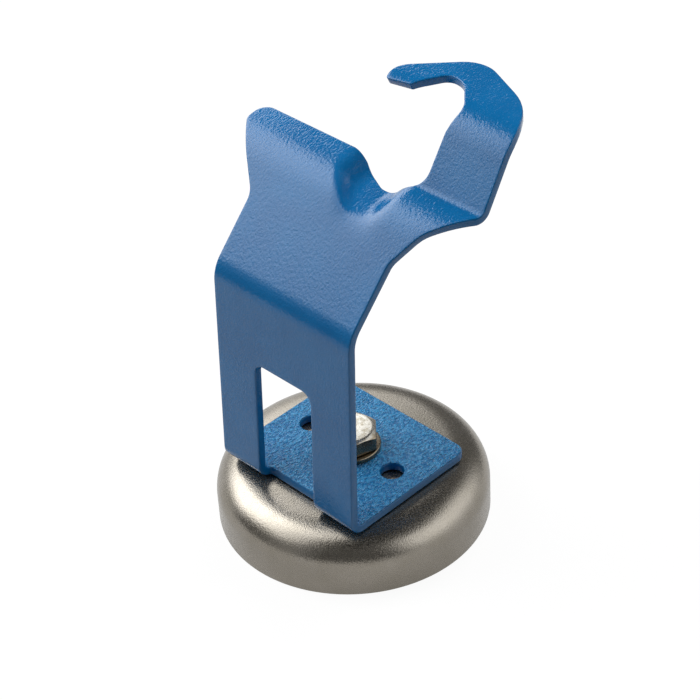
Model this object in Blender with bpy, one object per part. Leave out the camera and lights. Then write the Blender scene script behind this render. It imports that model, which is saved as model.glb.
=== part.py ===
"""Magnetic torch holder: a bent sheet-steel cradle bolted to a round pot magnet.

World frame: metres, +Z up.  The origin is the centre of the magnet's holding
face.  X runs along the width of the upright sheet, and the sheet's outer
face looks towards -Y.  The cradle swivels about the bolt, which is the Z axis.
"""
import math

import bpy
import numpy as np
from mathutils import Vector
from mathutils.geometry import delaunay_2d_cdt

for item in list(bpy.data.objects):
    bpy.data.objects.remove(item, do_unlink=True)

# Driving sizes in metres, angles in radians.
fit_gap = 0.0003

magnet_diameter = 0.080
magnet_height = 0.018
shoulder_run = 0.0078
shoulder_rise = 0.0106
cup_wall = 0.0035
cup_roof = 0.0040
inner_shoulder_run = 0.0040
inner_shoulder_rise = 0.0070
rim_chamfer = 0.0004

pole_radius = 0.0140
inner_filler_width = 0.0040
outer_filler_width = 0.0050
face_recess = 0.0006
outer_filler_height = 0.0058
filler_recess = 0.0010

bolt_radius = 0.0050
bolt_clearance = 0.0005
bolt_point_chamfer = 0.0008
bore_floor = 0.0025
bore_extra_depth = 0.0010
head_across_flats = 0.0148
head_height = 0.0052
head_circle_share = 0.91
head_chamfer_angle = math.radians(33.0)
head_turn = math.radians(15.0)
washer_radius = 0.0087
washer_thickness = 0.0015
washer_chamfer = 0.0002

sheet_thickness = 0.0025
sheet_half_width = 0.0261
flange_rear = 0.0213
window_front = 0.0220
flange_corner_radius = 0.0040
side_hole_radius = 0.0033
side_hole_offset = 0.0164
foot_front = 0.02615
foot_inner_radius = 0.0020
wall_lean = math.radians(3.0)
wall_rise = 0.0659
brow_outer_radius = 0.0110
slope_angle = math.radians(46.5)
slope_reach = 0.0303
crest_radius = 0.0200
shelf_angle = math.radians(8.0)
shelf_run = 0.0007
heel_radius = 0.0030
shin_angle = math.radians(55.0)
shin_run = 0.0140
knuckle_radius = 0.0140
crown_angle = math.radians(4.0)
crown_run = 0.0240

window_half_width = 0.0109
window_corner_radius = 0.0035
window_height = 0.0412

overhang = 0.0159
root_rise = 0.0228
ear_flare_rise = 0.0187
ear_depth = 0.0071
elbow_step = 0.0051
elbow_rise_step = 0.0103
arm_corner_step = 0.0124
cradle_step = 0.0042
cradle_beyond_ear = 0.0054
waist_length = 0.0176

trough_centre = 0.0085
trough_floor_half = 0.0007
trough_left_run = 0.0113
trough_right_run = 0.0100
ear_end_reach = 0.0111
cradle_foot_reach = 0.0013
arm_inner_reach = 0.0125
trough_back = 0.0204
trough_rise = 0.0215
trough_climb_share = 0.13
trough_blend = 0.0013
trough_onset = -12.0

hook_flare_out = 0.0012
hook_flare_step = 0.0083
eye_rise_step = 0.0106
finger_inner_offset = 0.0030
finger_width = 0.0090
throat_reach = 0.0041
throat_depth = 0.0035
eye_reach = 0.0033
eye_depth = 0.0084
hook_band = 0.0081
hook_top_reach = 0.0286
hook_side_in = 0.0012
hook_side_drop = 0.0123
finger_back_in = 0.0001
finger_back_step = 0.0055
tip_round = 0.0006
throat_round = 0.0030
corner_round = 0.0040
root_round = 0.0060
hook_round = 0.0110
hook_side_round = 0.0210
eye_round = 0.0047
flare_round = 0.0025
elbow_round = 0.0160
waist_round = 0.0120
foot_round = 0.0050
ear_end_round = 0.0025
tangent_share = 0.88

turn_steps = 96
shoulder_steps = 12
inner_steps = 7
hole_steps = 40
bend_step = math.radians(6.0)
corner_step = math.radians(10.0)
trough_step = 0.0013
trough_row_lead = 0.0180
edge_step = 0.0060
corner_edge = 0.0004
snap_reach = 0.00014
level_reach = 0.00045
probe = 0.00001
grid_unit = 0.001
merge_share = 0.00001
sharp_angle = math.radians(32.0)


def make_material(name, colour, metallic, roughness):
    """A plain Principled material with the finish of one piece."""
    material = bpy.data.materials.new(name)
    material.use_nodes = True
    shader = material.node_tree.nodes["Principled BSDF"]
    shader.inputs["Base Color"].default_value = (*colour, 1.0)
    shader.inputs["Metallic"].default_value = metallic
    shader.inputs["Roughness"].default_value = roughness
    material.diffuse_color = (*colour, 1.0)
    return material


def add_piece(name, points, faces, material, origin_height):
    """Closed body from world points, its origin on the swivel axis."""
    origin = np.array([0.0, 0.0, origin_height])
    mesh = bpy.data.meshes.new(name)
    mesh.from_pydata((np.asarray(points) - origin).tolist(), [], faces)
    mesh.materials.append(material)
    mesh.validate()
    piece = bpy.data.objects.new(name, mesh)
    piece.location = Vector(origin.tolist())
    bpy.context.scene.collection.objects.link(piece)
    mesh.shade_smooth()
    mesh.set_sharp_from_angle(angle=sharp_angle)
    return piece


def revolve(profile, closed):
    """Turn a list of (radius, height) about Z.

    A closed profile makes a ring.  An open one starts and ends on the axis,
    and its two end points become the centres of fans.
    """
    rows = profile if closed else profile[1:-1]
    points = []
    for radius, height in rows:
        for step in range(turn_steps):
            angle = 2.0 * math.pi * step / turn_steps
            points.append((radius * math.cos(angle), radius * math.sin(angle), height))
    faces = []
    pair_count = len(rows) if closed else len(rows) - 1
    for row in range(pair_count):
        low = row * turn_steps
        high = ((row + 1) % len(rows)) * turn_steps
        for step in range(turn_steps):
            after = (step + 1) % turn_steps
            faces.append((low + step, low + after, high + after, high + step))
    if not closed:
        bottom = len(points)
        points.append((0.0, 0.0, profile[0][1]))
        top = len(points)
        points.append((0.0, 0.0, profile[-1][1]))
        last = (len(rows) - 1) * turn_steps
        for step in range(turn_steps):
            after = (step + 1) % turn_steps
            faces.append((bottom, after, step))
            faces.append((top, last + step, last + after))
    return points, faces


def quarter(centre_radius, centre_height, run, rise, start, end, steps):
    """Points of an ellipse arc in the (radius, height) plane."""
    arc = []
    for step in range(steps + 1):
        angle = start + (end - start) * step / steps
        arc.append((centre_radius + run * math.cos(angle), centre_height + rise * math.sin(angle)))
    return arc


# Heights of the stack along the bolt, from the holding face upwards.
cup_radius = magnet_diameter / 2.0
cup_inner_radius = cup_radius - cup_wall
ferrite_inner_radius = pole_radius + inner_filler_width
ferrite_outer_radius = cup_inner_radius - outer_filler_width
flange_bottom = magnet_height + fit_gap
flange_top = flange_bottom + sheet_thickness
washer_bottom = flange_top + fit_gap
washer_top = washer_bottom + washer_thickness
head_bottom = washer_top + fit_gap
head_top = head_bottom + head_height
cavity_top = magnet_height - cup_roof
pole_top = cavity_top - fit_gap
bore_radius = bolt_radius + fit_gap
bolt_tip = bore_floor + bore_extra_depth

# Magnet cup: a drawn steel shell, open downwards.  The outside rises straight, then rolls over an elliptical shoulder into a
# flat roof with the bolt's hole; the inside follows it one wall further in.
half_turn = math.pi / 2.0
cup_profile = [(cup_inner_radius, 0.0), (cup_radius - rim_chamfer, 0.0), (cup_radius, rim_chamfer)]
cup_profile += quarter(cup_radius - shoulder_run, magnet_height - shoulder_rise,
                       shoulder_run, shoulder_rise, 0.0, half_turn, shoulder_steps)
cup_profile += [(bore_radius, magnet_height), (bore_radius, cavity_top)]
cup_profile += quarter(cup_inner_radius - inner_shoulder_run, cavity_top - inner_shoulder_rise,
                       inner_shoulder_run, inner_shoulder_rise, half_turn, 0.0, inner_steps)
cup_points, cup_faces = revolve(cup_profile, True)
nickel = make_material("satin nickel plated steel", (0.56, 0.54, 0.50), 1.0, 0.30)
add_piece("magnet_cup", cup_points, cup_faces, nickel, 0.0)

# Ferrite ring: the permanent magnet inside the cup.
ferrite_profile = [(ferrite_inner_radius, face_recess), (ferrite_outer_radius, face_recess),
                   (ferrite_outer_radius, pole_top), (ferrite_inner_radius, pole_top)]
ferrite_points, ferrite_faces = revolve(ferrite_profile, True)
ferrite = make_material("sintered ferrite", (0.035, 0.035, 0.038), 0.0, 0.62)
add_piece("ferrite_ring", ferrite_points, ferrite_faces, ferrite, 0.0)

# Centre pole: a steel core with the blind bore that takes the bolt.
pole_profile = [(0.0, 0.0), (pole_radius - rim_chamfer, 0.0), (pole_radius, rim_chamfer),
                (pole_radius, pole_top), (bore_radius, pole_top), (bore_radius, bore_floor),
                (0.0, bore_floor)]
pole_points, pole_faces = revolve(pole_profile, False)
pole_steel = make_material("bright turned steel", (0.50, 0.49, 0.47), 1.0, 0.35)
add_piece("centre_pole", pole_points, pole_faces, pole_steel, 0.0)

# Filler rings: non-magnetic fill on both sides of the ferrite.
inner_filler_profile = [(pole_radius + fit_gap, filler_recess),
                        (ferrite_inner_radius - fit_gap, filler_recess),
                        (ferrite_inner_radius - fit_gap, pole_top),
                        (pole_radius + fit_gap, pole_top)]
inner_filler_points, inner_filler_faces = revolve(inner_filler_profile, True)
filler_resin = make_material("black potting resin", (0.020, 0.020, 0.022), 0.0, 0.45)
add_piece("inner_filler_ring", inner_filler_points, inner_filler_faces, filler_resin, 0.0)

outer_filler_top = filler_recess + outer_filler_height
outer_filler_profile = [(ferrite_outer_radius + fit_gap, filler_recess),
                        (cup_inner_radius - fit_gap, filler_recess),
                        (cup_inner_radius - fit_gap, outer_filler_top),
                        (ferrite_outer_radius + fit_gap, outer_filler_top)]
outer_filler_points, outer_filler_faces = revolve(outer_filler_profile, True)
add_piece("outer_filler_ring", outer_filler_points, outer_filler_faces, filler_resin, 0.0)

# Plain washer under the bolt head.
washer_inner = bolt_radius + fit_gap
washer_profile = [(washer_inner, washer_bottom),
                  (washer_radius - washer_chamfer, washer_bottom),
                  (washer_radius, washer_bottom + washer_chamfer),
                  (washer_radius, washer_top - washer_chamfer),
                  (washer_radius - washer_chamfer, washer_top),
                  (washer_inner, washer_top)]
washer_points, washer_faces = revolve(washer_profile, True)
zinc = make_material("bright zinc plated steel", (0.66, 0.65, 0.61), 1.0, 0.28)
add_piece("plain_washer", washer_points, washer_faces, zinc, 0.0)

# Hexagon bolt: a head with a turned top chamfer, and a plain shank.
# At each angle the side of the head stands at the hexagon's own radius, and
# the chamfer cone lowers its top edge most at the six corners.
apothem = head_across_flats / 2.0
head_circle = apothem * head_circle_share
sector = math.pi / 3.0
hexagon_top = []
hexagon_bottom = []
for step in range(turn_steps):
    angle = 2.0 * math.pi * step / turn_steps
    reach = apothem / math.cos(((angle - head_turn) % sector) - sector / 2.0)
    drop = (reach - head_circle) * math.tan(head_chamfer_angle)
    hexagon_top.append((reach * math.cos(angle), reach * math.sin(angle), head_top - drop))
    hexagon_bottom.append((reach * math.cos(angle), reach * math.sin(angle), head_bottom))
shank_profile = [(0.0, bolt_tip), (bolt_radius - bolt_point_chamfer, bolt_tip),
                 (bolt_radius, bolt_tip + bolt_point_chamfer), (bolt_radius, head_bottom),
                 (apothem, head_bottom), (apothem, head_top), (head_circle, head_top),
                 (0.0, head_top)]
bolt_points, bolt_faces = revolve(shank_profile, False)
hexagon_row = 3 * turn_steps
bolt_points[hexagon_row:hexagon_row + turn_steps] = hexagon_bottom
bolt_points[hexagon_row + turn_steps:hexagon_row + 2 * turn_steps] = hexagon_top
add_piece("hex_bolt", bolt_points, bolt_faces, zinc, 0.0)

# Bracket: side view of the sheet's outer face.  The face is a chain of straight runs and bends in the YZ plane.  Each link
# is (length along the face, change of heading); a zero change is straight.
foot_outer_radius = foot_inner_radius + sheet_thickness
foot_turn = half_turn + wall_lean
foot_tangent = foot_outer_radius * math.tan(foot_turn / 2.0)
wall_heading = half_turn - wall_lean
brow_turn = wall_heading - slope_angle
brow_tangent = brow_outer_radius * math.tan(brow_turn / 2.0)
crest_turn = slope_angle - shelf_angle
heel_turn = shin_angle - shelf_angle
knuckle_turn = shin_angle - crown_angle
flange_run = flange_rear + foot_front - foot_tangent
wall_run = wall_rise / math.cos(wall_lean) - foot_tangent - brow_tangent
slope_run = slope_reach - brow_tangent
lower_chain = [(flange_run, 0.0), (foot_outer_radius * foot_turn, -foot_turn), (wall_run, 0.0),
               (brow_outer_radius * brow_turn, -brow_turn), (slope_run, 0.0),
               (crest_radius * crest_turn, -crest_turn)]
arm_chain = lower_chain + [(shelf_run, 0.0), (heel_radius * heel_turn, heel_turn),
                           (shin_run, 0.0), (knuckle_radius * knuckle_turn, -knuckle_turn),
                           (crown_run, 0.0)]
ear_chain = lower_chain + [(crown_run, 0.0)]


def walk(chain, distance):
    """Point (y, z) and heading of the outer face after the given distance."""
    place_y = flange_rear
    place_z = flange_bottom
    heading = math.pi
    left = distance
    for length, turn in chain:
        part = min(left, length)
        if turn == 0.0:
            place_y += part * math.cos(heading)
            place_z += part * math.sin(heading)
        else:
            radius = length / turn
            after = heading + part / radius
            place_y += radius * (math.sin(after) - math.sin(heading))
            place_z -= radius * (math.cos(after) - math.cos(heading))
            heading = after
        left -= part
        if left <= 0.0:
            break
    return place_y, place_z, heading


# Distances along the face are counted from the flange's rear edge.  The
# rises of the ear, arm and hook start where the wall's line and the sloping
# panel's line would meet if the sheet had no bend radius.
slope_start = flange_run + lower_chain[1][0] + wall_run + lower_chain[3][0]
brow_line = slope_start - brow_tangent
window_bottom = flange_rear + window_front
window_top = (flange_run + lower_chain[1][0] + window_height / math.cos(wall_lean)
              - foot_tangent)
brow_height = flange_bottom + wall_rise
brow_depth = -foot_front + wall_rise * math.tan(wall_lean)

# Places across the sheet, from the sheet's middle and the trough's middle.
span_half_width = sheet_half_width + overhang
arm_elbow_offset = sheet_half_width + elbow_step
trough_floor_left = trough_centre - trough_floor_half
trough_left = trough_floor_left - trough_left_run
trough_floor_right = trough_centre + trough_floor_half
trough_right = trough_floor_right + trough_right_run
ear_end_offset = trough_centre - ear_end_reach
cradle_foot_offset = trough_centre - cradle_foot_reach
arm_inner_offset = trough_centre + arm_inner_reach
branch_line = (cradle_foot_offset + arm_inner_offset) / 2.0
hook_flare_offset = arm_inner_offset + hook_flare_out
finger_throat_offset = finger_inner_offset + throat_reach
hook_eye_offset = finger_throat_offset + eye_reach
finger_outer_offset = finger_inner_offset - finger_width
hook_back_offset = finger_outer_offset + finger_back_in
hook_side_offset = span_half_width - hook_side_in
hook_top_offset = hook_side_offset - hook_top_reach

# Places along the face, each one a step on from the place before it.
root_line = brow_line + root_rise
ear_corner_line = root_line + ear_flare_rise
ear_top_line = ear_corner_line + ear_depth
arm_elbow_line = root_line + elbow_rise_step
arm_corner_line = arm_elbow_line + arm_corner_step
cradle_edge_line = ear_top_line - cradle_step
cradle_end = ear_top_line + cradle_beyond_ear
arm_waist_line = cradle_edge_line + waist_length
hook_flare_line = arm_waist_line + hook_flare_step
hook_eye_line = hook_flare_line + eye_rise_step
finger_throat_line = hook_eye_line - eye_depth
finger_tip_line = finger_throat_line - throat_depth
finger_back_line = finger_tip_line + finger_back_step
hook_top_line = hook_eye_line + hook_band
hook_side_line = hook_top_line - hook_side_drop


def ease(share):
    """S-curve of two parabolas: 2t^2, then 1 - 2(1 - t)^2."""
    share = min(max(share, 0.0), 1.0)
    if share < 0.5:
        return 2.0 * share * share
    return 1.0 - 2.0 * (1.0 - share) * (1.0 - share)


def face_point(across, distance):
    """Outer face of the sheet with the pressed trough, and the trough's depth.

    The trough lowers the face to a gently climbing floor line; a soft step,
    blend * ln(1 + exp(height / blend)), rounds the fold where it starts.
    """
    beside_ear = across < branch_line and distance < cradle_end
    chain = ear_chain if beside_ear else arm_chain
    place_y, place_z, heading = walk(chain, distance)
    drop = 0.0
    if distance < cradle_end:
        rising = ease((across - trough_left) / (trough_floor_left - trough_left))
        falling = ease((trough_right - across) / (trough_right - trough_floor_right))
        floor_line = (brow_height + trough_rise
                      + trough_climb_share * (place_y - brow_depth - trough_back))
        above = (place_z - floor_line) / trough_blend
        if above > trough_onset:
            drop = min(rising, falling) * trough_blend * math.log1p(math.exp(above))
    return np.array([across, place_y, place_z - drop]), heading, drop


def sheet_pair(across, distance):
    """Matching points of the sheet's outer and inner faces."""
    outer, heading, drop = face_point(across, distance)
    normal = np.array([0.0, -math.sin(heading), math.cos(heading)])
    if drop > 0.0:
        along_x = face_point(across + probe, distance)[0] - face_point(across - probe, distance)[0]
        along_s = face_point(across, distance + probe)[0] - face_point(across, distance - probe)[0]
        normal = np.cross(along_x, along_s)
        normal /= np.linalg.norm(normal)
    return outer, outer - normal * sheet_thickness


def rounded(corners):
    """Closed outline from (x, distance, radius) corners, each one filleted."""
    outline = []
    count = len(corners)
    for index, (corner_x, corner_s, radius) in enumerate(corners):
        here = np.array([corner_x, corner_s])
        back = np.array(corners[index - 1][:2]) - here
        ahead = np.array(corners[(index + 1) % count][:2]) - here
        back_length = np.linalg.norm(back)
        ahead_length = np.linalg.norm(ahead)
        back /= back_length
        ahead /= ahead_length
        bend = math.pi - math.acos(float(np.clip(back @ ahead, -1.0, 1.0)))
        tangent = min(radius * math.tan(bend / 2.0),
                      tangent_share * min(back_length, ahead_length))
        if tangent == 0.0:
            outline.append(here)
            continue
        actual = tangent / math.tan(bend / 2.0)
        middle = (back + ahead) / np.linalg.norm(back + ahead)
        centre = here + middle * (actual / math.cos(bend / 2.0))
        first = here + back * tangent - centre
        last = here + ahead * tangent - centre
        start = math.atan2(first[1], first[0])
        sweep = math.atan2(first[0] * last[1] - first[1] * last[0], first @ last)
        finest = math.ceil(abs(sweep) * actual / corner_edge)
        steps = max(2, min(finest, math.ceil(abs(sweep) / corner_step)))
        for step in range(steps + 1):
            angle = start + sweep * step / steps
            outline.append(centre + actual * np.array([math.cos(angle), math.sin(angle)]))
    return outline


# Bracket: the flat blank before bending, as corners of (x, distance, radius).
outline = rounded([
    (-sheet_half_width, 0.0, flange_corner_radius),
    (sheet_half_width, 0.0, flange_corner_radius),
    (sheet_half_width, root_line, root_round),
    (arm_elbow_offset, arm_elbow_line, elbow_round),
    (span_half_width, arm_corner_line, corner_round),
    (hook_side_offset, hook_side_line, hook_side_round),
    (hook_top_offset, hook_top_line, hook_round),
    (hook_back_offset, finger_back_line, hook_round),
    (finger_outer_offset, finger_tip_line, tip_round),
    (finger_inner_offset, finger_tip_line, tip_round),
    (finger_throat_offset, finger_throat_line, throat_round),
    (hook_eye_offset, hook_eye_line, eye_round),
    (hook_flare_offset, hook_flare_line, flare_round),
    (arm_inner_offset, arm_waist_line, waist_round),
    (arm_inner_offset, cradle_edge_line, root_round),
    (cradle_foot_offset, cradle_edge_line, foot_round),
    (ear_end_offset, ear_top_line, ear_end_round),
    (-span_half_width, ear_top_line, corner_round),
    (-span_half_width, ear_corner_line, corner_round),
    (-sheet_half_width, root_line, root_round)])
window = rounded([
    (-window_half_width, window_bottom, tip_round),
    (window_half_width, window_bottom, tip_round),
    (window_half_width, window_top, window_corner_radius),
    (-window_half_width, window_top, window_corner_radius)])


def divided(loop):
    """The loop with extra points on the straight edges beside the trough."""
    result = []
    for index, first in enumerate(loop):
        last = loop[(index + 1) % len(loop)]
        result.append(first)
        low_x = min(first[0], last[0])
        high_x = max(first[0], last[0])
        beside = low_x > trough_left - trough_step and high_x < trough_right + corner_round
        if beside and slope_start + trough_row_lead < first[1] < cradle_end:
            steps = math.ceil(np.linalg.norm(last - first) / trough_step)
            for step in range(1, steps):
                result.append(first + (last - first) * step / steps)
    return result


outline = divided(outline)


def hole(across, distance, radius):
    """Round hole in the blank."""
    ring = []
    for step in range(hole_steps):
        angle = 2.0 * math.pi * step / hole_steps
        ring.append(np.array([across + radius * math.cos(angle),
                              distance + radius * math.sin(angle)]))
    return ring


holes = [window,
         hole(0.0, flange_rear, bolt_radius + bolt_clearance),
         hole(-side_hole_offset, flange_rear, side_hole_radius),
         hole(side_hole_offset, flange_rear, side_hole_radius)]


def inside(loop, spots):
    """Even-odd test of many (x, distance) spots against one loop."""
    spots = np.asarray(spots)
    result = np.zeros(len(spots), dtype=bool)
    ring = np.asarray(loop)
    for first, last in zip(ring, np.roll(ring, -1, axis=0)):
        crosses = (first[1] > spots[:, 1]) != (last[1] > spots[:, 1])
        if not crosses.any():
            continue
        slant = (last[0] - first[0]) / (last[1] - first[1])
        limit = first[0] + (spots[:, 1] - first[1]) * slant
        result ^= crosses & (spots[:, 0] < limit)
    return result


def in_blank(spots):
    """True where a spot lies on the blank's metal."""
    keep = inside(outline, spots)
    for loop in holes:
        keep &= ~inside(loop, spots)
    return keep


# Rows across the blank: one at every small step of each bend, closer ones
# through the trough.
rows = []
run_end = 0.0
for length, turn in arm_chain:
    if turn != 0.0:
        steps = math.ceil(abs(turn) / bend_step)
        rows += [run_end + length * step / steps for step in range(steps + 1)]
    run_end += length
levels = [window_bottom, window_top, ear_top_line, finger_tip_line, cradle_edge_line]
for level in levels:
    nearest = min(range(len(rows)), key=lambda index: abs(rows[index] - level))
    if abs(rows[nearest] - level) < level_reach:
        rows[nearest] = level
trough_rows = []
row = slope_start + trough_row_lead
while row < ear_top_line:
    if min(abs(row - other) for other in rows) > trough_step / 2.0:
        trough_rows.append(row)
    row += trough_step
for loop in [outline] + holes:
    for spot in loop:
        nearest = min(rows, key=lambda other: abs(other - spot[1]))
        if abs(nearest - spot[1]) < snap_reach:
            spot[1] = nearest
border = np.array([spot for loop in [outline] + holes for spot in loop])
spots = []
edges = []
for loop in [outline] + holes:
    base = len(spots)
    spots += [tuple(spot) for spot in loop]
    edges += [(base + index, base + (index + 1) % len(loop)) for index in range(len(loop))]
for row in rows:
    edges.append((len(spots), len(spots) + 1))
    spots += [(-span_half_width - edge_step, row), (span_half_width + edge_step, row)]
columns = np.arange(trough_left - trough_step, trough_right + trough_step * 2.0, trough_step)
near_rows = [row for row in rows if slope_start + trough_row_lead < row < cradle_end]
grid = [(column, row) for row in sorted(trough_rows + near_rows) for column in columns]
for spot, kept in zip(grid, in_blank(grid)):
    if kept and np.min(np.linalg.norm(border - np.array(spot), axis=1)) > trough_step / 3.0:
        spots.append(spot)

# Cut the blank into triangles in grid units, then keep those on the metal.
flat = delaunay_2d_cdt([Vector(spot) / grid_unit for spot in spots], edges, [], 0, merge_share)
flat_spots = np.array([tuple(spot) for spot in flat[0]]) * grid_unit
triangles = np.array([list(face) for face in flat[2]])
triangles = triangles[in_blank(flat_spots[triangles].mean(axis=1))]
used = np.unique(triangles)
number = {int(old): new for new, old in enumerate(used)}
triangles = [[number[int(corner)] for corner in face] for face in triangles]
pairs = [sheet_pair(float(flat_spots[old][0]), float(flat_spots[old][1])) for old in used]
bracket_points = [pair[0] for pair in pairs] + [pair[1] for pair in pairs]
half_count = len(used)
directed = {(face[k], face[(k + 1) % 3]) for face in triangles for k in range(3)}
bracket_faces = [tuple(face) for face in triangles]
bracket_faces += [tuple(half_count + corner for corner in reversed(face)) for face in triangles]
for first, last in sorted(directed):
    if (last, first) not in directed:
        bracket_faces.append((first, half_count + first, half_count + last, last))
paint = make_material("blue textured powder coat", (0.035, 0.165, 0.420), 0.0, 0.42)
add_piece("torch_bracket", bracket_points, bracket_faces, paint, flange_bottom)
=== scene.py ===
"""Looks of the magnetic torch holder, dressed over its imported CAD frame.

Metres, +Z up.  The magnet's holding face lies on z = 0, the bolt is the Z axis,
and the upright sheet faces -Y.
"""
import math

import bpy
import numpy as np
from mathutils import Matrix, Vector
from mathutils.geometry import delaunay_2d_cdt


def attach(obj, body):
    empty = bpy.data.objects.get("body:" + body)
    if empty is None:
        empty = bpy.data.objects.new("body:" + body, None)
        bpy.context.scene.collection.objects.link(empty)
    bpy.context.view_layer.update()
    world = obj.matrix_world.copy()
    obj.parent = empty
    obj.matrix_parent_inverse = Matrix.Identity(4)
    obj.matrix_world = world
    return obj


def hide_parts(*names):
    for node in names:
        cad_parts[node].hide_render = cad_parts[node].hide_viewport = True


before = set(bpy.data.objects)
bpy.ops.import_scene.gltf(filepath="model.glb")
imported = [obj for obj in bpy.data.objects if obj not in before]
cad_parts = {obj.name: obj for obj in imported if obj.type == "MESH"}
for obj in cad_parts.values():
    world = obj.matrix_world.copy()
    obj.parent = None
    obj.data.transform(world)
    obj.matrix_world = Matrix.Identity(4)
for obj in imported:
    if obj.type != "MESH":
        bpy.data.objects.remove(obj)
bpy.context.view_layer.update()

# The magnet cup is the drawn steel shell that everything stands on.  It is
# pressed from strip, so its shoulder is a wide soft roll, and barrel plated
# with nickel, which leaves it satin with a fine grain.
mm = 0.001
cup_radius = 40.0 * mm
cup_height = 18.0 * mm
cup_inner_radius = 36.5 * mm
cup_cavity_top = 14.0 * mm
cup_bore_radius = 5.3 * mm
cup_foot_round = 0.5 * mm
cavity_round = (4.0 * mm, 7.0 * mm)
roll_reach = 12.0 * mm
roll_drop = 9.6 * mm
roll_bluntness = 2.2
turn_count = 288
crease_angle = math.radians(40.0)


def put_mesh(name, points, quads, triangles):
    """Make an object at the origin from arrays of points, quads and triangles."""
    mesh = bpy.data.meshes.new(name)
    mesh.vertices.add(len(points))
    mesh.vertices.foreach_set("co", np.asarray(points, np.float32).ravel())
    corners = np.concatenate([np.ravel(quads), np.ravel(triangles)]).astype(np.int32)
    sides = np.concatenate([np.full(len(quads), 4), np.full(len(triangles), 3)]).astype(np.int32)
    mesh.loops.add(len(corners))
    mesh.loops.foreach_set("vertex_index", corners)
    mesh.polygons.add(len(sides))
    starts = np.concatenate([[0], np.cumsum(sides)[:-1]]).astype(np.int32)
    mesh.polygons.foreach_set("loop_start", starts)
    mesh.polygons.foreach_set("loop_total", sides)
    mesh.update(calc_edges=True)
    mesh.validate()
    mesh.shade_smooth()
    piece = bpy.data.objects.new(name, mesh)
    bpy.context.scene.collection.objects.link(piece)
    return piece


def turned(name, radius, height, ring):
    """Rows of (radius, height) carried round Z: (r cos a, r sin a, h).

    A ring joins its last row to its first.  Any other form starts and ends on
    the axis, where a fan closes it.
    """
    rows = len(radius)
    angle = np.linspace(0.0, 2.0 * np.pi, turn_count, endpoint=False)
    wide = np.broadcast_to(np.reshape(radius, (rows, -1)), (rows, turn_count))
    high = np.broadcast_to(np.reshape(height, (rows, -1)), (rows, turn_count))
    points = np.stack([wide * np.cos(angle), wide * np.sin(angle), high], axis=2).reshape(-1, 3)
    here = np.arange(rows * turn_count).reshape(rows, turn_count)
    beside = np.roll(here, -1, axis=1)
    low = slice(None) if ring else slice(0, -1)
    above = np.roll(here, -1, axis=0)[low]
    above_beside = np.roll(beside, -1, axis=0)[low]
    quads = np.stack([here[low], beside[low], above_beside, above], axis=2).reshape(-1, 4)
    triangles = np.zeros((0, 3), int)
    if not ring:
        foot = len(points)
        points = np.vstack([points, [[0.0, 0.0, high[0, 0]], [0.0, 0.0, high[-1, 0]]]])
        triangles = np.vstack([
            np.stack([np.full(turn_count, foot), beside[0], here[0]], axis=1),
            np.stack([np.full(turn_count, foot + 1), here[-1], beside[-1]], axis=1)])
    return put_mesh(name, points, quads, triangles)


def arc(centre, reach, start, end, count):
    """Part of an ellipse from a start to an end angle a in degrees.

    Each point is the centre plus (first reach cos a, second reach sin a).
    """
    turn = np.radians(np.linspace(start, end, count))
    return np.stack([centre[0] + reach[0] * np.cos(turn), centre[1] + reach[1] * np.sin(turn)], axis=1)


# The rolled shoulder is a blunt ellipse: the cosine and sine of the turn from
# rim to top, raised to 2 over the bluntness.  A bluntness of 2 is a plain one.
roll = np.radians(np.linspace(0.0, 90.0, 48))
shoulder = np.stack([
    cup_radius - roll_reach + roll_reach * np.cos(roll).clip(0.0) ** (2.0 / roll_bluntness),
    cup_height - roll_drop + roll_drop * np.sin(roll) ** (2.0 / roll_bluntness)], axis=1)
cup_profile = np.vstack([
    [[cup_inner_radius, 0.0]],
    arc((cup_radius - cup_foot_round, cup_foot_round), (cup_foot_round, cup_foot_round), -90.0, 0.0, 5),
    shoulder,
    [[cup_bore_radius, cup_height], [cup_bore_radius, cup_cavity_top]],
    arc((cup_inner_radius - cavity_round[0], cup_cavity_top - cavity_round[1]),
        cavity_round, 90.0, 0.0, 16)])
cup = turned("nickel_cup", cup_profile[:, 0], cup_profile[:, 1], True)
cup.data.set_sharp_from_angle(angle=crease_angle)


def linear(code):
    """Turn an sRGB hex code into a linear colour with full alpha."""
    share = np.array([int(code[start:start + 2], 16) for start in (1, 3, 5)]) / 255.0
    bright = np.where(share <= 0.04045, share / 12.92, ((share + 0.055) / 1.055) ** 2.4)
    return (*bright.tolist(), 1.0)


def add_node(material, kind, settings, sockets):
    """Add one node: settings are its own values, sockets its inputs or links."""
    node = material.node_tree.nodes.new(kind)
    for name, value in settings.items():
        setattr(node, name, value)
    for name, value in sockets.items():
        if isinstance(value, bpy.types.NodeSocket):
            material.node_tree.links.new(value, node.inputs[name])
        else:
            node.inputs[name].default_value = value
    return node


# Satin nickel plate: a warm grey metal.  Barrel plating leaves a fine grain,
# drawn 0.45 mm wide so that it shows, which breaks up the edges of every
# reflection.  The tone drifts over about 9 mm.
nickel = bpy.data.materials.new("satin nickel plate")
nickel.use_nodes = True
nickel_shader = nickel.node_tree.nodes["Principled BSDF"]
nickel_place = add_node(nickel, "ShaderNodeTexCoord", {}, {}).outputs["Object"]
grain = add_node(nickel, "ShaderNodeTexNoise", {},
                 {"Vector": nickel_place, "Scale": 1.0 / (0.45 * mm), "Detail": 2.0, "Roughness": 0.5})
cloud = add_node(nickel, "ShaderNodeTexNoise", {},
                 {"Vector": nickel_place, "Scale": 1.0 / (9.0 * mm), "Detail": 2.0, "Roughness": 0.5})
nickel_gloss = add_node(nickel, "ShaderNodeMapRange", {},
                        {"Value": grain.outputs["Fac"], "From Min": 0.35, "From Max": 0.65,
                         "To Min": 0.20, "To Max": 0.34})
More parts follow.
